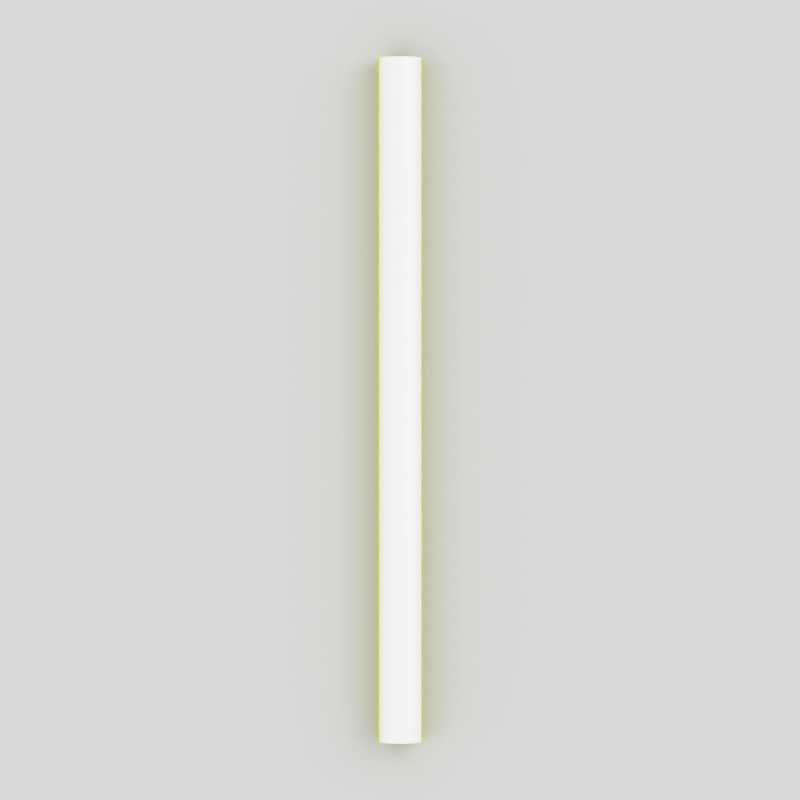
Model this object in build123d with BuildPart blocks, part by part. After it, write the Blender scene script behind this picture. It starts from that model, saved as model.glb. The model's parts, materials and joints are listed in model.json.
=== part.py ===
from build123d import *
import os
from math import asin, cos, degrees, radians, sin, tan

# A reflector for one spoke of a bicycle wheel: a slit tube, wrapped in reflective film, that snaps over it.
# The bore lies along Y with the origin at its middle. The slit faces down, so the tube rests on its two lips.

# Driving dimensions, in millimetres and degrees
reflector_length = 75.0
tube_diameter = 4.7
film_thickness = 0.15
bore_diameter = 2.0  # closes on a plain 2.0 mm spoke
throat_width = 1.3  # narrower than the spoke, which therefore snaps past it
throat_round = 0.12  # edge that the spoke slides over on its way into the bore
mouth_flare = 18.0  # slope of each side of the mouth, from the vertical
lip_radius = 0.3  # rounding of the two lips that the spoke meets first
bare_margin = 0.25  # plastic left showing between each lip and the film

# Sizes that follow from them
tube_radius = tube_diameter / 2
bore_radius = bore_diameter / 2
film_radius = tube_radius + film_thickness
throat_half = throat_width / 2
flare = radians(mouth_flare)

# Each lip is an arc inside the tube's outline that also touches the side of the mouth.
# Angles are measured about the bore, from straight down.
mouth_side_distance = throat_half * cos(flare) - bore_radius * sin(flare)
lip_turn = asin((mouth_side_distance + lip_radius) / (tube_radius - lip_radius))
lip_angle = mouth_flare + degrees(lip_turn)
film_edge_angle = lip_angle + degrees(bare_margin / tube_radius)

# The mouth and the film's gap are both cut well past the outside
cut_depth = 2 * film_radius
mouth_cut_half = throat_half + (cut_depth - bore_radius) * tan(flare)
film_gap_half = cut_depth * tan(radians(film_edge_angle))

os.makedirs("parts", exist_ok=True)

# Slit tube: an extruded section with a round bore, a straight throat and a flared mouth
with BuildPart() as slit_tube:
    with BuildSketch(Plane.XZ) as tube_section:
        Circle(tube_radius)
        Circle(bore_radius, mode=Mode.SUBTRACT)
        with BuildLine():
            Polyline(
                (-throat_half, 0),
                (throat_half, 0),
                (throat_half, -bore_radius),
                (mouth_cut_half, -cut_depth),
                (-mouth_cut_half, -cut_depth),
                (-throat_half, -bore_radius),
                close=True,
            )
        make_face(mode=Mode.SUBTRACT)
        lip_corners = vertices().group_by(Axis.Y)[0]
        fillet(lip_corners, lip_radius)
        throat_corners = vertices().group_by(Axis.Y)[-1]
        fillet(throat_corners, throat_round)
    extrude(amount=reflector_length / 2, both=True)
slit_tube.part.label = "slit_tube"

# Reflective film: a thin sheet bonded round the tube, stopping short of both lips
with BuildPart() as reflective_film:
    with BuildSketch(Plane.XZ):
        Circle(film_radius)
        Circle(tube_radius, mode=Mode.SUBTRACT)
        with BuildLine():
            Polyline((0, 0), (film_gap_half, -cut_depth), (-film_gap_half, -cut_depth), close=True)
        make_face(mode=Mode.SUBTRACT)
    extrude(amount=reflector_length / 2, both=True)
reflective_film.part.label = "reflective_film"

export_step(slit_tube.part, "parts/slit_tube.step")
export_step(reflective_film.part, "parts/reflective_film.step")
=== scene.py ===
# %% [markdown]
# A reflector for one bicycle spoke.
# The real thing is a short plastic tube, slit along one side so that it snaps over a spoke, with a thin
# reflective film bonded round it. Its solids are already built and packed at their real size, with the
# bore along Y, the slit facing down and the origin in the middle of the bore. This lesson loads them as a
# fixed frame and gives them their finish. We keep the box of the solids now.

# %% Load the imported reflector
import json
import math

import bmesh
import bpy
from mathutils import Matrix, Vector, noise


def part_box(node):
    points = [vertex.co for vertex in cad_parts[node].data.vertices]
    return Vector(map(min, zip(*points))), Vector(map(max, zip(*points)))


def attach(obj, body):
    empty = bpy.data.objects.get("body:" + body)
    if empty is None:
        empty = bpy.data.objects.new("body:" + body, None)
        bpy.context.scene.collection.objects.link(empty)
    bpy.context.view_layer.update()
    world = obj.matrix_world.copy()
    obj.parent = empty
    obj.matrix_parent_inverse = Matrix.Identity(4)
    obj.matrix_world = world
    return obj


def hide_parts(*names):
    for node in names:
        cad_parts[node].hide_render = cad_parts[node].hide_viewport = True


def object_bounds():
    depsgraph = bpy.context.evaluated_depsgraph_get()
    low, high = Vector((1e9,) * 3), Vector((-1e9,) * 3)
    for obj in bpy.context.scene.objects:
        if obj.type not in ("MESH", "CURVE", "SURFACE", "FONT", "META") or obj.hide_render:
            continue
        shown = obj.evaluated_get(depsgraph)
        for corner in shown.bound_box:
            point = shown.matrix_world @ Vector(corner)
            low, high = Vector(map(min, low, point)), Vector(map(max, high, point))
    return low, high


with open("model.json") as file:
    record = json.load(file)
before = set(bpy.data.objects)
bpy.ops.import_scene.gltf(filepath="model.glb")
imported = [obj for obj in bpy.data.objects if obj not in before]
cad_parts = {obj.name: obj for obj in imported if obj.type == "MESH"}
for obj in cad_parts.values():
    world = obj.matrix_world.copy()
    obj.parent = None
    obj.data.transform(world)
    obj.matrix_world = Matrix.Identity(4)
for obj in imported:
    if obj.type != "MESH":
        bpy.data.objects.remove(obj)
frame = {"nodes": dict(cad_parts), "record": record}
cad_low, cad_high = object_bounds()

MM = 0.001
print("solids:", sorted(frame["nodes"]), "box, mm:", [round(v / MM, 3) for v in cad_high - cad_low])

# %% [markdown]
# Every size comes from the solids where they can give it: the length, the two radii and, from the record,
# the bore. Typed in again, they would be left behind by a change of the solids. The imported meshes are
# made of short flats, so a box can come out a hair smaller than the true circle. We take the smaller
# reading, which keeps the dressed reflector inside the box of the solids.

# %% Measure the solids
tube_low, tube_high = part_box("slit_tube")
film_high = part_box("reflective_film")[1]
half_length = tube_high.y
tube_radius = min(tube_high.x, tube_high.z)
film_radius = min(film_high.x, film_high.z)
bore_radius = frame["record"]["mounts"][0]["dims"]["r_mm"] * MM
across = [2 * size / MM for size in (half_length, tube_radius, film_radius, bore_radius)]
print("length %.1f mm, tube %.2f mm, film %.2f mm, bore %.2f mm across" % tuple(across))

# %% [markdown]
# The section of the tube is a keyhole: a round bore that grips the spoke, a throat that is narrower than
# the spoke, and a mouth that flares out to two rounded lips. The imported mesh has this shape, but its
# round faces show as flats when the camera comes close. Smooth shading would hide them on the faces and
# not along the outline, so we draw the section again out of arcs, with many more points. Angles are
# measured about the bore from straight down, because the slit faces down and both sides of it are alike.

# %% Arcs about the bore
BORE_AXIS = Vector((0.0, 0.0))
CROWN = 180.0
FULL_TURN = 360.0


def round_the_bore(radius, angle):
    """The point of the section at that radius, with the angle in degrees from straight down."""
    turn = math.radians(angle)
    return Vector((radius * math.sin(turn), -radius * math.cos(turn)))


def evenly(start, end, steps):
    """Values in equal steps from start to end, both included."""
    return [start + (end - start) * i / steps for i in range(steps + 1)]


def arc(centre, radius, start, end, steps):
    """Points along an arc of the section, both ends included."""
    return [centre + round_the_bore(radius, angle) for angle in evenly(start, end, steps)]


print("crown of the tube at x = %.2f mm, z = %.2f mm" % tuple(round_the_bore(tube_radius, CROWN) / MM))

# %% [markdown]
# Each lip is a small arc that touches both the outside of the tube and the slanted side of the mouth. A
# bevel could round the corner there, but we would have to try until it fits. The throat, the flare and
# the lip's radius can't be read off a box, so they are written here, and one right-angled triangle then
# gives the lip's place exactly. The film's edge follows from it, and leaves a bare margin of plastic.

# %% Place of the lips and of the film's edges
throat_width = 1.3 * MM
mouth_flare = 18.0
lip_radius = 0.3 * MM
bare_margin = 0.25 * MM

flare = math.radians(mouth_flare)
mouth_side_distance = throat_width / 2 * math.cos(flare) - bore_radius * math.sin(flare)
lip_turn = math.asin((mouth_side_distance + lip_radius) / (tube_radius - lip_radius))
lip_angle = mouth_flare + math.degrees(lip_turn)
film_edge_angle = lip_angle + math.degrees(bare_margin / tube_radius)
print("lips at %.1f degrees, film's edges at %.1f degrees from straight down" % (lip_angle, film_edge_angle))

# %% [markdown]
# One half of the tube's section runs from the crown down the outside, round the lip, up the mouth and the
# throat, and round the bore to its top. An arc that runs into a straight side ends square to it, and one
# that runs into another arc ends on the line through both centres, which gives the angles below. A mirror
# modifier could make the other half, but mirrored points do it without a seam. A real lip that has lain on
# a table has a flat too small to see, and so has this one: no point lies lower than the solids.

# %% Outline of the slit tube
throat_round = 0.12 * MM
outside_steps = 80
lip_steps = 16
throat_steps = 6
bore_steps = 48


def tube_half():
    """The right half of the tube's section, from the crown by the lip and the slit to the bore's top."""
    outside = arc(BORE_AXIS, tube_radius, CROWN, lip_angle, outside_steps)
    lip_centre = round_the_bore(tube_radius - lip_radius, lip_angle)
    lip = arc(lip_centre, lip_radius, lip_angle, mouth_flare - 90, lip_steps)
    throat_foot = Vector((throat_width / 2, -bore_radius))
    edge_x = throat_width / 2 + throat_round
    edge_centre = Vector((edge_x, -math.sqrt((bore_radius + throat_round) ** 2 - edge_x ** 2)))
    edge_angle = math.degrees(math.atan2(edge_centre.x, -edge_centre.y))
    throat_edge = arc(edge_centre, throat_round, -90, edge_angle - 180, throat_steps)
    bore = arc(BORE_AXIS, bore_radius, edge_angle, CROWN, bore_steps)
    return outside + lip[1:] + [throat_foot] + throat_edge + bore[1:]


def tube_outline():
    """The closed outline of the tube's section, clockwise from the crown."""
    right = tube_half()
    left = [Vector((-point.x, point.y)) for point in reversed(right[1:-1])]
    return [Vector((point.x, max(point.y, tube_low.z))) for point in right + left]


tube_section = tube_outline()
print("tube outline:", len(tube_section), "points")

# %% [markdown]
# The film is a thin band that was wrapped round by a machine, so it isn't as true as the tube: its two
# long edges wander a little, and its face rises and falls by about a hundredth of a millimetre. Those
# small faults make a highlight look like film and not like glass. A displace modifier could bend a smooth
# band, but noise in the outline itself is simpler and the same at every run. It only goes inwards, so the
# band never grows past the solid. Lanes and layers are places in the noise, far enough apart to differ.

# %% Unevenness of the film
edge_wander = 0.07 * MM
long_wave = 11.0 * MM
long_share = 0.7
short_wave = 2.5 * MM
short_share = 0.3
face_ripple = 0.014 * MM
ripple_length = 7.0 * MM
ripple_angle = 38.0
LANE_GAP = 17.3
SHORT_LANE = 5
EDGE_LAYER = 5.1
FACE_LAYER = 2.7


def smooth_noise(x, y, z):
    """Smooth noise from 0 to 1."""
    return 0.5 + 0.5 * noise.noise(Vector((x, y, z)))


def film_edge(y, side):
    """The angle of the film's cut edge at y, from straight down. Side is 1 on the right, -1 on the left."""
    long_drift = smooth_noise(y / long_wave, LANE_GAP * side, EDGE_LAYER)
    short_drift = smooth_noise(y / short_wave, LANE_GAP * (side + SHORT_LANE), EDGE_LAYER)
    stray = edge_wander * (long_share * long_drift + short_share * short_drift)
    return film_edge_angle + math.degrees(stray / tube_radius)


def film_face(y, angle):
    """The radius of the film's face at that place."""
    return film_radius - face_ripple * smooth_noise(y / ripple_length, angle / ripple_angle, FACE_LAYER)


print("at its middle the film's right edge is at %.2f degrees, its crown at %.3f mm" % (
    film_edge(0.0, 1), film_face(0.0, CROWN) / MM))

# %% [markdown]
# The film's section is a ring with a gap: the face over the crown, the cut edge on the right, the
# underside against the tube and the cut edge on the left. A cut film has no knife-sharp corners, so each
# corner is a quarter of a circle in four points. The two distances by which such a corner falls short of
# a sharp one are worked out once, for a radius of one, and serve again for the cut ends.

# %% Outline of the reflective film
corner_round = 0.035 * MM
face_steps = 150
under_steps = 50
bends = [math.radians(angle) for angle in (0, 30, 60, 90)]
quarter_round = [(1 - math.cos(bend), 1 - math.sin(bend)) for bend in bends]


def film_side(y, side):
    """The outline round one cut edge, from face to underside, and the angle where its corners begin."""
    edge = film_edge(y, side)
    face = film_face(y, side * edge % FULL_TURN)
    turn = math.degrees(corner_round / tube_radius)
    outer = [(face - corner_round * drop, edge + turn * back) for drop, back in quarter_round]
    inner = [(tube_radius + corner_round * drop, edge + turn * back) for drop, back in quarter_round]
    corners = outer + inner[::-1]
    return [round_the_bore(radius, side * angle) for radius, angle in corners], edge + turn


def film_outline(y):
    """The closed outline of the film's section at y, clockwise from the left edge over the crown."""
    right, right_start = film_side(y, 1)
    left, left_start = film_side(y, -1)
    face_angles = evenly(FULL_TURN - left_start, right_start, face_steps)[1:-1]
    face = [round_the_bore(film_face(y, angle), angle) for angle in face_angles]
    under = arc(BORE_AXIS, tube_radius, right_start, FULL_TURN - left_start, under_steps)[1:-1]
    return face + right + under + left[::-1]


print("film outline:", len(film_outline(0.0)), "points")

# %% [markdown]
# Both pieces are swept along Y. A blade cuts the real ones off a long extrusion, and its pressure rounds
# the cut edge a little. A bevel modifier could do that, but a few extra rings are simpler and cleaner:
# near each end the outline is drawn again, each time a little further in. The tube is straight and needs
# few rings, and the film needs many, because it ripples.

# %% Stations between the cut ends


def cut_stations(spacing, cut_round):
    """Places along Y with how far the outline is drawn in there, from one cut end to the other."""
    straight = half_length - cut_round
    middle = [(y, 0.0) for y in evenly(-straight, straight, round(2 * straight / spacing))]
    rounding = [(half_length - cut_round * back, cut_round * drop) for drop, back in quarter_round[1:]]
    return [(-y, inset) for y, inset in rounding[::-1]] + middle + rounding


def drawn_in(outline, inset):
    """The outline moved inwards, square to itself, by that distance."""
    moved = []
    for i, point in enumerate(outline):
        along = outline[(i + 1) % len(outline)] - outline[i - 1]
        moved.append(point + inset * Vector((along.y, -along.x)).normalized())
    return moved


tube_stations = cut_stations(spacing=3.0 * MM, cut_round=0.05 * MM)
film_stations = cut_stations(spacing=0.5 * MM, cut_round=0.022 * MM)
print("stations:", len(tube_stations), "along the tube and", len(film_stations), "along the film")

# %% [markdown]
# Each station becomes a ring of points, faces join one ring to the next, and one face closes each end. A
# curve with a bevel object could sweep the tube but not the film, whose outline changes on the way, so
# both are skinned in bmesh. Faces are shaded smooth. Only the edges that are really sharp, and the rims
# of the cut faces, get hard shading.

# %% Skin the two pieces
sharp_angle = math.radians(35.0)


def harden_edges(body, ends):
    """Hard shading on the sharp edges and on the rims of the end faces."""
    rims = {edge for end in ends for edge in end.edges}
    for edge in body.edges:
        if edge in rims or edge.calc_face_angle(0.0) > sharp_angle:
            edge.smooth = False


def add_to_scene(name, data):
    """A new object in the scene that shows the data."""
    shown = bpy.data.objects.new(name, data)
    bpy.context.scene.collection.objects.link(shown)
    return shown


def sweep(name, outline_at, stations):
    """A closed piece skinned over one outline for each station."""
    body = bmesh.new()
    rings = []
    for y, inset in stations:
        rings.append([body.verts.new((p.x, y, p.y)) for p in drawn_in(outline_at(y), inset)])
    for near, far in zip(rings, rings[1:]):
        for i, vertex in enumerate(near):
            body.faces.new((vertex, near[i - 1], far[i - 1], far[i])).smooth = True
    ends = [body.faces.new(rings[0]), body.faces.new(rings[-1])]
    bmesh.ops.recalc_face_normals(body, faces=body.faces)
    harden_edges(body, ends)
    mesh = bpy.data.meshes.new(name)
    body.to_mesh(mesh)
    body.free()
    return add_to_scene(name, mesh)


tube = sweep("slit_tube_body", lambda y: tube_section, tube_stations)
film = sweep("reflective_film_wrap", film_outline, film_stations)
for piece in (tube, film):
    print(piece.name, "has", len(piece.data.vertices), "points and", len(piece.data.polygons), "faces")

# %% [markdown]
# Each new piece rides on the one rigid body of this part and stands for its imported solid. The solid is
# only hidden, and keeps its place for collision.

# %% Hang the pieces on the frame
for piece, node in ((tube, "slit_tube"), (film, "reflective_film")):
    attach(piece, "root")
    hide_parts(node)
    print(piece.name, "rides on root and stands for", node)

# %% [markdown]
# A material is a tree of nodes, and a node takes what it needs through its sockets. Written out link by
# link, the wiring would bury the finish, so a few small helpers do it. The first fills the sockets of a
# node, and the others add one node each, to map a range to another range or to split a vector in three.

# %% Helpers: sockets and ranges


def feed(tree, node, settings):
    """Fills sockets, by name or number, with plain values or with links from other nodes' sockets."""
    for socket, value in settings.items():
        if isinstance(value, bpy.types.NodeSocket):
            tree.links.new(value, node.inputs[socket])
        else:
            node.inputs[socket].default_value = value


def spread(tree, value, start, end, low=0.0, high=1.0, smooth=False):
    """Maps start..end to low..high, and holds still outside."""
    node = tree.nodes.new("ShaderNodeMapRange")
    node.interpolation_type = "SMOOTHSTEP" if smooth else "LINEAR"
    feed(tree, node, {"Value": value, "From Min": start, "From Max": end, "To Min": low, "To Max": high})
    return node.outputs["Result"]


def between(tree, share, low, high):
    """The low value where share is 0, the high one where it is 1."""
    return spread(tree, share, 0.0, 1.0, low, high)


def split(tree, vector):
    """The X, Y and Z of a vector."""
    node = tree.nodes.new("ShaderNodeSeparateXYZ")
    feed(tree, node, {"Vector": vector})
    return node.outputs


print("helpers:", [helper.__name__ for helper in (feed, spread, between, split)])

# %% [markdown]
# Streaks, marks and patches all start as noise. They could be painted into an image, but noise nodes stay
# sharp at every distance and need no file. They are laid out by the place on the piece in millimetres, so
# that a scale reads as so many marks to the millimetre, and stretching an axis turns spots into streaks.

# %% Helpers: place and noise


def place_in_mm(tree, stretch=(1.0, 1.0, 1.0)):
    """The place on the piece in millimetres, with each axis stretched by its own factor."""
    where = tree.nodes.new("ShaderNodeTexCoord")
    scale = tree.nodes.new("ShaderNodeVectorMath")
    scale.operation = "MULTIPLY"
    feed(tree, scale, {0: where.outputs["Object"], 1: [factor / MM for factor in stretch]})
    return scale.outputs["Vector"]


def noise_value(tree, vector, scale, detail=2.0):
    """Smooth noise from about 0 to 1."""
    node = tree.nodes.new("ShaderNodeTexNoise")
    feed(tree, node, {"Vector": vector, "Scale": scale, "Detail": detail})
    return node.outputs["Fac"]


print("helpers:", [helper.__name__ for helper in (place_in_mm, noise_value)])

# %% [markdown]
# Two effects are on both materials, so each is a node group that is built once and placed in each
# material with its own values. Drawn streaks are the faint lines that a die leaves along an extrusion and
# a roller leaves along a film: noise that is fine across the piece and very long along Y. Noise seldom
# strays far from its middle, so the range that it does use is spread out to the full 0 to 1.

# %% Group: drawn streaks
streak_stretch = 0.012
streak_range = (0.3, 0.7)


def new_group(name, inputs, outputs):
    """An empty group with named number sockets. Returns its tree, its input node and its output node."""
    tree = bpy.data.node_groups.new(name, "ShaderNodeTree")
    for socket_name, start in inputs.items():
        socket = tree.interface.new_socket(name=socket_name, in_out="INPUT", socket_type="NodeSocketFloat")
        socket.default_value = start
    for socket_name in outputs:
        tree.interface.new_socket(name=socket_name, in_out="OUTPUT", socket_type="NodeSocketFloat")
    return tree, tree.nodes.new("NodeGroupInput"), tree.nodes.new("NodeGroupOutput")


def build_drawn_streaks():
    """Streak runs from 0 to 1 across lines along Y, with Fineness lines to the millimetre."""
    tree, given, result = new_group("drawn_streaks", {"Fineness": 4.0}, ["Streak"])
    place = place_in_mm(tree, (1.0, streak_stretch, 1.0))
    lines = noise_value(tree, place, given.outputs["Fineness"], detail=3.0)
    feed(tree, result, {"Streak": spread(tree, lines, *streak_range)})
    return tree


drawn_streaks = build_drawn_streaks()
print("group", drawn_streaks.name, "has", [socket.name for socket in drawn_streaks.interface.items_tree])

# %% [markdown]
# The blade that cuts a reflector to length leaves a dull face with fine parallel marks, and bruises the
# last fraction of a millimetre of the side. The ends could be given a material of their own, but then the
# bruise would stop at a hard line. The group tells the end faces by their normal, which points along Y,
# and the bruised border by its distance from the end.

# %% Group: cut ends
face_turn = (0.75, 0.95)
marks_per_mm = (0.5, 0.0, 9.0)
clouds_per_mm = 1.2
blade_range = (0.7, 1.3)
ACROSS = (1.0, 0.0, 1.0)


def calculate(tree, operation, *values):
    """A sum or a function of up to three values."""
    node = tree.nodes.new("ShaderNodeMath")
    node.operation = operation
    feed(tree, node, dict(enumerate(values)))
    return node.outputs["Value"]


def build_cut_ends():
    """Face is 1 on the cut faces, Border rises to 1 towards the ends, and Blade holds the blade's marks."""
    tree, given, result = new_group("cut_ends", {"Reach": 0.4}, ["Face", "Border", "Blade"])
    normal = tree.nodes.new("ShaderNodeTexCoord").outputs["Normal"]
    along = calculate(tree, "ABSOLUTE", split(tree, normal)["Y"])
    from_middle = calculate(tree, "ABSOLUTE", split(tree, place_in_mm(tree))["Y"])
    from_end = calculate(tree, "SUBTRACT", half_length / MM, from_middle)
    marks = noise_value(tree, place_in_mm(tree, marks_per_mm), scale=1.0)
    clouds = noise_value(tree, place_in_mm(tree, ACROSS), clouds_per_mm)
    feed(tree, result, {
        "Face": spread(tree, along, *face_turn),
        "Border": spread(tree, from_end, given.outputs["Reach"], 0.0),
        "Blade": spread(tree, calculate(tree, "ADD", marks, clouds), *blade_range),
    })
    return tree


cut_ends = build_cut_ends()
print("group", cut_ends.name, "has", [socket.name for socket in cut_ends.interface.items_tree])

# %% [markdown]
# The film sends light straight back where it faces it, and there it looks white. Where it is turned away
# by more than about 69 degrees it no longer does, and its own colour shows, a fluorescent yellow. The white
# is light painted into the colour: a painted reflection over the crown. So seen head-on the reflector is a
# white bar with a thin yellow line down each side, a little wider on the left, because the painted
# reflection is centred a little to the right, where the light stood. A shader that reads the angle to the
# eye could do this, but the border would slide along with the eye. Here the painted reflection belongs to
# the place on the film, by the angle round the bore, so it stays on the crown from every side. The film
# lay flat when it was made, so we also unroll it in our minds and lay out its patterns on the flat.

# %% Where a point lay on the flat film


def unrolled(tree):
    """The place on the flat film, in mm from its middle, and the angle from the crown in degrees."""
    place = split(tree, place_in_mm(tree))
    angle = calculate(tree, "ARCTAN2", place["X"], place["Z"])
    flat = tree.nodes.new("ShaderNodeCombineXYZ")
    feed(tree, flat, {"X": calculate(tree, "MULTIPLY", angle, film_radius / MM), "Y": place["Y"]})
    return flat.outputs["Vector"], calculate(tree, "DEGREES", angle)


flat_width = 2 * math.radians(CROWN - film_edge_angle) * film_radius
print("the flat film is about %.1f mm wide" % (flat_width / MM))

# %% [markdown]
# Glass beads in a clear binder do the work of sending the light back. Modelled one by one they would be
# far too many, so a flat Voronoi pattern stands for them: each cell is one bead, with a number of its
# own. From the middle of a cell outwards, the core is all bead and beyond the rim all is binder.

# %% Glass beads
beads_per_mm = 18.0
bead_disorder = 0.75
bead_core = 0.32
bead_rim = 0.52


def glass_beads(tree, flat):
    """Bead is 1 inside a bead and 0 in the binder. Tone is a number of each bead's own, from 0 to 1."""
    cells = tree.nodes.new("ShaderNodeTexVoronoi")
    cells.voronoi_dimensions = "2D"
    feed(tree, cells, {"Vector": flat, "Scale": beads_per_mm, "Randomness": bead_disorder})
    tone = tree.nodes.new("ShaderNodeSeparateColor")
    feed(tree, tone, {"Color": cells.outputs["Color"]})
    return spread(tree, cells.outputs["Distance"], bead_rim, bead_core, smooth=True), tone.outputs["Red"]


print("beads about %.3f mm apart" % (1 / beads_per_mm))

# %% [markdown]
# The border between the painted reflection and the yellow is no ruled line. It wanders by a few degrees,
# as the film is never wrapped on perfectly true, and each bead gives up at a slant of its own, so that the
# border is a fine stipple. Both come from patterns on the flat film, so they stay in their place from every
# side.

# %% Border between white and yellow
# Painted light: the painted reflection is centred this many degrees right of the crown, where the light
# stood, so it reaches further down on the right.
light_tilt = 2.5
painted_reflection_ends_at = 69.0
border_softness = 2.5
border_wander = 6.5
wanders_per_mm = 0.9
bead_spread = 8.0


def nudged(tree, value, number, reach):
    """The value moved by up to half the reach either way, by a number from 0 to 1."""
    return calculate(tree, "MULTIPLY_ADD", calculate(tree, "SUBTRACT", number, 0.5), reach, value)


def light_slant(tree, flat, angle):
    """How far the film is turned away from the light, in degrees, with the wander of the border of the
    painted reflection.
    """
    slant = calculate(tree, "ABSOLUTE", calculate(tree, "SUBTRACT", angle, light_tilt))
    return nudged(tree, slant, noise_value(tree, flat, wanders_per_mm, detail=3.0), border_wander)


def share_of_yellow(tree, slant):
    """0 under the painted reflection, where the film still sends light back, 1 where it has given up."""
    return spread(tree, slant, painted_reflection_ends_at - border_softness, painted_reflection_ends_at + border_softness, smooth=True)


print("white ends at about %.1f degrees from the crown on the left and %.1f on the right" % (
    painted_reflection_ends_at - light_tilt, painted_reflection_ends_at + light_tilt))

# %% [markdown]
# Now the colours. The white is the painted reflection, and just before the border it turns warm, a painted
# fade of the sent-back light into the yellow. The yellow isn't even either: soft patches of a deeper
# yellow, a millimetre or so long, lie along it. A single white and a single yellow would look printed. The
# beads and the binder between them each have their own share of yellow.

# %% Colours of the film
# Painted reflection: the two whites stand for light sent straight back by the beads, painted into the
# colour. The yellows are the film's own colour.
PAINTED_REFLECTION_WHITE = (0.94, 0.94, 0.925, 1.0)
WARM_PAINTED_REFLECTION = (0.94, 0.935, 0.70, 1.0)
BEAD_YELLOW = (0.80, 0.80, 0.035, 1.0)
DEEP_YELLOW = (0.73, 0.725, 0.028, 1.0)
# The painted reflection turns warm from this slant up to its border.
painted_reflection_warms_from = 50.0
patches_per_mm = 0.8
patch_range = (0.35, 0.65)


def mix_colours(tree, share, first, second):
    """The first colour where share is 0, the second where it is 1."""
    node = tree.nodes.new("ShaderNodeMix")
    node.data_type = "RGBA"
    one, two = [i for i, socket in enumerate(node.inputs) if socket.type == "RGBA"]
    feed(tree, node, {"Factor": share, one: first, two: second})
    return next(socket for socket in node.outputs if socket.type == "RGBA")


def film_colour(tree, flat, angle, bead, tone):
    """A painted reflection, white, at the crown and the film's own yellow on the flanks. Returns the colour
    and the share of yellow.
    """
    slant = light_slant(tree, flat, angle)
    binder_yellow = share_of_yellow(tree, slant)
    bead_yellow = share_of_yellow(tree, nudged(tree, slant, tone, bead_spread))
    yellow = between(tree, bead, binder_yellow, bead_yellow)
    warmth = spread(tree, slant, painted_reflection_warms_from, painted_reflection_ends_at, smooth=True)
    # The white here is the painted reflection, warming towards its border.
    white = mix_colours(tree, warmth, PAINTED_REFLECTION_WHITE, WARM_PAINTED_REFLECTION)
    patch = spread(tree, noise_value(tree, flat, patches_per_mm, detail=4.0), *patch_range)
    flank = mix_colours(tree, patch, DEEP_YELLOW, BEAD_YELLOW)
    return mix_colours(tree, yellow, white, flank), yellow


print("white", PAINTED_REFLECTION_WHITE[:3], "warms to", WARM_PAINTED_REFLECTION[:3])
print("yellow", BEAD_YELLOW[:3], "deepens to", DEEP_YELLOW[:3])

# %% [markdown]
# Four more helpers serve the materials themselves. A new material has one Principled shader, a group is
# placed in it with its own values, a colour can be dimmed, and a height can be embossed. As real faces,
# grain and streaks this low would be millions, so they are a bump, which only shades the surface.

# %% Helpers: materials


def new_material(name):
    """A material with one Principled shader. Returns the material, its tree and the shader."""
    material = bpy.data.materials.new(name)
    material.use_nodes = True
    return material, material.node_tree, material.node_tree.nodes["Principled BSDF"]


def use_group(tree, group, **values):
    """Places a group in a material, with these values on its inputs. Returns its outputs."""
    node = tree.nodes.new("ShaderNodeGroup")
    node.node_tree = group
    feed(tree, node, values)
    return node.outputs


def dimmed(tree, colour, share):
    """That share of a colour's brightness."""
    node = tree.nodes.new("ShaderNodeVectorMath")
    node.operation = "SCALE"
    feed(tree, node, {0: colour, "Scale": share})
    return node.outputs["Vector"]


def emboss(tree, shader, height, strength, depth):
    """Shades the surface as if the height, from 0 to 1, stood up by that depth."""
    bump = tree.nodes.new("ShaderNodeBump")
    feed(tree, bump, {"Strength": strength, "Distance": depth, "Height": height})
    feed(tree, shader, {"Normal": bump.outputs["Normal"]})


print("helpers:", [helper.__name__ for helper in (new_material, use_group, dimmed, emboss)])

# %% [markdown]
# The film's finish puts all this together. The binder is a little duller and darker than the beads, the
# beads differ a little from each other, and the streaks of the roller dim both by a trace. The clear face
# over them could be a second, glassy mesh, but the coat of the shader gives the same gloss. At both ends
# the cut shows the pale grey-green of the film's own layers.

# %% Material: reflective film
CUT_FILM = (0.66, 0.67, 0.52, 1.0)
# How far the binder between the beads is dimmed under the painted reflection and on the yellow.
binder_on_painted_reflection = 0.97
binder_on_yellow = 0.86
darkest_bead = 0.965
darkest_streak = 0.985
binder_roughness = 0.55
bead_roughness = 0.42
cut_film_roughness = 0.3


def film_material():
    """Beads in a binder under a clear face, with the cut edge of the film at both ends."""
    material, tree, shader = new_material("reflective_film_look")
    flat, angle = unrolled(tree)
    bead, tone = glass_beads(tree, flat)
    colour, yellow = film_colour(tree, flat, angle, bead, tone)
    binder_dim = between(tree, yellow, binder_on_painted_reflection, binder_on_yellow)
    dim = between(tree, bead, binder_dim, between(tree, tone, darkest_bead, 1.0))
    streak = use_group(tree, drawn_streaks, Fineness=2.5)["Streak"]
    dim = calculate(tree, "MULTIPLY", dim, between(tree, streak, darkest_streak, 1.0))
    cut = use_group(tree, cut_ends)["Face"]
    rough = between(tree, bead, binder_roughness, bead_roughness)
    feed(tree, shader, {
        "Base Color": mix_colours(tree, cut, dimmed(tree, colour, dim), CUT_FILM),
        "Roughness": calculate(tree, "MULTIPLY_ADD", cut, cut_film_roughness, rough),
        "Coat Weight": 0.2,
        "Coat Roughness": 0.25,
    })
    emboss(tree, shader, bead, strength=0.2, depth=0.01 * MM)
    return material


film.data.materials.append(film_material())
print("film wears", film.data.materials[0].name)

# %% [markdown]
# The tube shows only at its ends, in the slit and along the two bare lips. It is a fluorescent yellow
# plastic with the die's streaks along it, which a flat colour would lose. The cut faces are duller and a
# little paler, because a blade bruises plastic white. Both groups are placed again, with other values.

# %% Material: slit tube
TUBE_YELLOW = (0.68, 0.71, 0.04, 1.0)
TUBE_SHADE = (0.60, 0.63, 0.03, 1.0)
BRUISED = (0.77, 0.79, 0.20, 1.0)
least_face_bruise = 0.3
most_face_bruise = 0.75
side_bruise = 0.4
hollow_roughness = 0.5
ridge_roughness = 0.38
cut_tube_roughness = 0.25
streak_height = 0.4


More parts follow.
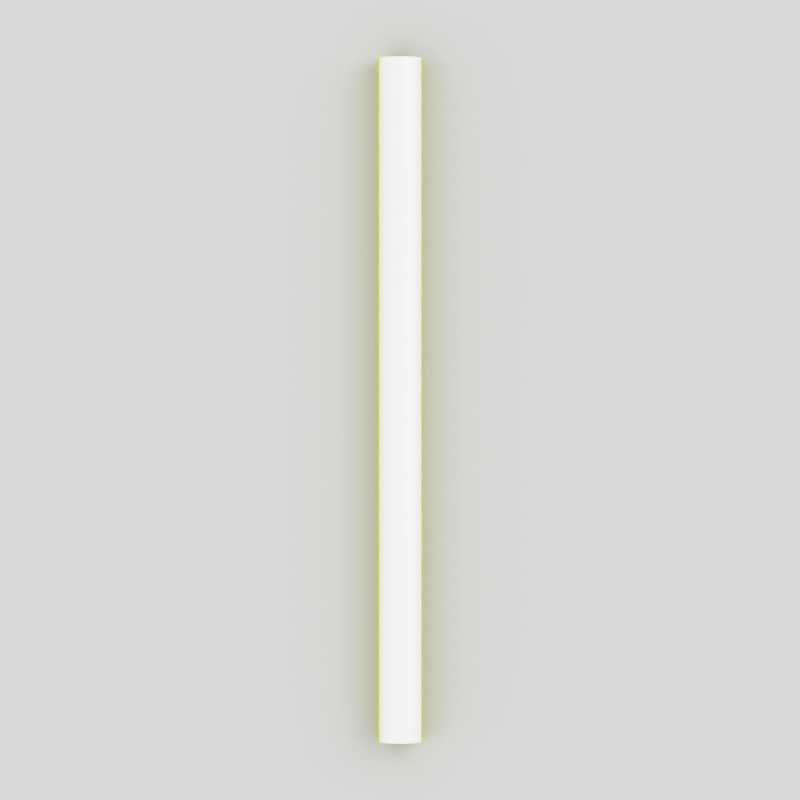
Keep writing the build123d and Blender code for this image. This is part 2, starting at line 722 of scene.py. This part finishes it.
def tube_material():
    """Streaked yellow plastic with dull, paler ends."""
    material, tree, shader = new_material("slit_tube_look")
    streak = use_group(tree, drawn_streaks, Fineness=5.0)["Streak"]
    cut = use_group(tree, cut_ends, Reach=0.35)
    plastic = mix_colours(tree, streak, TUBE_SHADE, TUBE_YELLOW)
    marked = between(tree, cut["Blade"], least_face_bruise, most_face_bruise)
    on_face = calculate(tree, "MULTIPLY", cut["Face"], marked)
    on_side = calculate(tree, "MULTIPLY", cut["Border"], side_bruise)
    bruise = calculate(tree, "MAXIMUM", on_face, on_side)
    rough = between(tree, streak, hollow_roughness, ridge_roughness)
    feed(tree, shader, {
        "Base Color": mix_colours(tree, bruise, plastic, BRUISED),
        "Roughness": calculate(tree, "MULTIPLY_ADD", cut["Face"], cut_tube_roughness, rough),
    })
    marks = calculate(tree, "MULTIPLY", cut["Blade"], cut["Face"])
    height = calculate(tree, "MULTIPLY_ADD", streak, streak_height, marks)
    emboss(tree, shader, height, strength=0.25, depth=0.03 * MM)
    return material


tube.data.materials.append(tube_material())
print("tube wears", tube.data.materials[0].name)

# %% [markdown]
# The stage is a plain pale floor at the lowest point of the solids. It could be a sheet that sweeps up
# into a backdrop, but the same floor has to serve a camera on any side, so it is flat and wide. It has no
# gloss, and so nothing is mirrored in it.

# %% Floor
PALE_GREY = (0.70, 0.70, 0.70, 1.0)
floor_half = 3.0


def build_floor():
    """A wide matte floor under the reflector."""
    mesh = bpy.data.meshes.new("floor")
    signs = ((-1, -1), (1, -1), (1, 1), (-1, 1))
    mesh.from_pydata([(x * floor_half, y * floor_half, cad_low.z) for x, y in signs], [], [(0, 1, 2, 3)])
    material, tree, shader = new_material("floor_look")
    feed(tree, shader, {"Base Color": PALE_GREY, "Roughness": 1.0, "Specular IOR Level": 0.0})
    mesh.materials.append(material)
    return add_to_scene("floor", mesh)


build_floor()
print("floor at z = %.3f mm" % (cad_low.z / MM))

# %% [markdown]
# The world lights evenly from all sides, as a white tent would. Seen by the camera, it would be paler
# than the floor and meet it in a hard horizon. So the Light Path node shows another background to the
# camera, and to gloss and glass: the same grey as the floor, and no horizon is left.

# %% World
WHITE = (1.0, 1.0, 1.0, 1.0)
world_share = 0.78


def build_world():
    """Even light from all sides, and a backdrop of the floor's grey."""
    world = bpy.data.worlds.new("studio")
    world.use_nodes = True
    tree = world.node_tree
    light = tree.nodes["Background"]
    feed(tree, light, {"Color": WHITE, "Strength": world_share})
    backdrop = tree.nodes.new("ShaderNodeBackground")
    feed(tree, backdrop, {"Color": PALE_GREY})
    ray = tree.nodes.new("ShaderNodeLightPath").outputs
    seen = calculate(tree, "MAXIMUM", ray["Is Camera Ray"], ray["Is Glossy Ray"])
    seen = calculate(tree, "MAXIMUM", seen, ray["Is Transmission Ray"])
    choose = tree.nodes.new("ShaderNodeMixShader")
    feed(tree, choose, {"Fac": seen, 1: light.outputs["Background"], 2: backdrop.outputs["Background"]})
    feed(tree, tree.nodes["World Output"], {"Surface": choose.outputs["Shader"]})
    return world


bpy.context.scene.world = build_world()
bpy.context.scene.view_settings.view_transform = "Standard"
print("world gives %.2f of the light on the floor" % world_share)

# %% [markdown]
# The light is soft and even, because a reflector that sends light back shows hardly any shade. Area lamps
# would leave a bright pool on the floor. Suns with a wide disc light it alike near and far, so it keeps
# one grey up to the horizon. The stronger one stands to the right, where the yellow line is paler, and a
# weaker one fills in from the left. Light is at a plain level when the world and the suns together add up
# to one on the floor: then a colour renders about as it is written.

# %% Suns


def soft_sun(name, azimuth, elevation, disc, share):
    """A sun that adds that share of white to a level floor. Azimuth runs from +X to +Y, in degrees."""
    turn = math.radians(azimuth)
    rise = math.radians(elevation)
    towards = Vector((math.cos(turn) * math.cos(rise), math.sin(turn) * math.cos(rise), math.sin(rise)))
    sun = bpy.data.lights.new(name, "SUN")
    sun.angle = math.radians(disc)
    sun.energy = share * math.pi / math.sin(rise)
    add_to_scene(name, sun).rotation_euler = towards.to_track_quat("Z", "Y").to_euler()
    print(name, "of strength %.2f" % sun.energy)


soft_sun("key_sun", azimuth=20.0, elevation=40.0, disc=50.0, share=0.13)
soft_sun("fill_sun", azimuth=195.0, elevation=35.0, disc=60.0, share=0.09)

# %% [markdown]
# The camera looks straight down on the reflector, with its length upright in the picture. A camera
# without perspective could take this view, but walked round the bar it would make it look like a drawing,
# and a short lens would make the far end too thin. A long lens lies between the two. The reflector is
# small, so the camera may also come closer than its usual limit before things are cut off.

# %% Camera
SENSOR = 36.0
LENS = 160.0
length_share = 0.86
nearest_seen = 0.01


def build_camera():
    """A camera above the middle, as high as the reflector's share of the picture needs."""
    camera = bpy.data.cameras.new("camera")
    camera.sensor_width = SENSOR
    camera.lens = LENS
    camera.clip_start = nearest_seen
    view_height = 2 * half_length / length_share
    camera_object = add_to_scene("camera", camera)
    camera_object.location = (0.0, 0.0, film_radius + view_height * LENS / SENSOR)
    return camera_object


bpy.context.scene.camera = build_camera()
print("camera %.0f mm above the bore" % (bpy.context.scene.camera.location.z / MM))

# %% [markdown]
# Last, the view layer is brought up to date.

# %% Finish
bpy.context.view_layer.update()
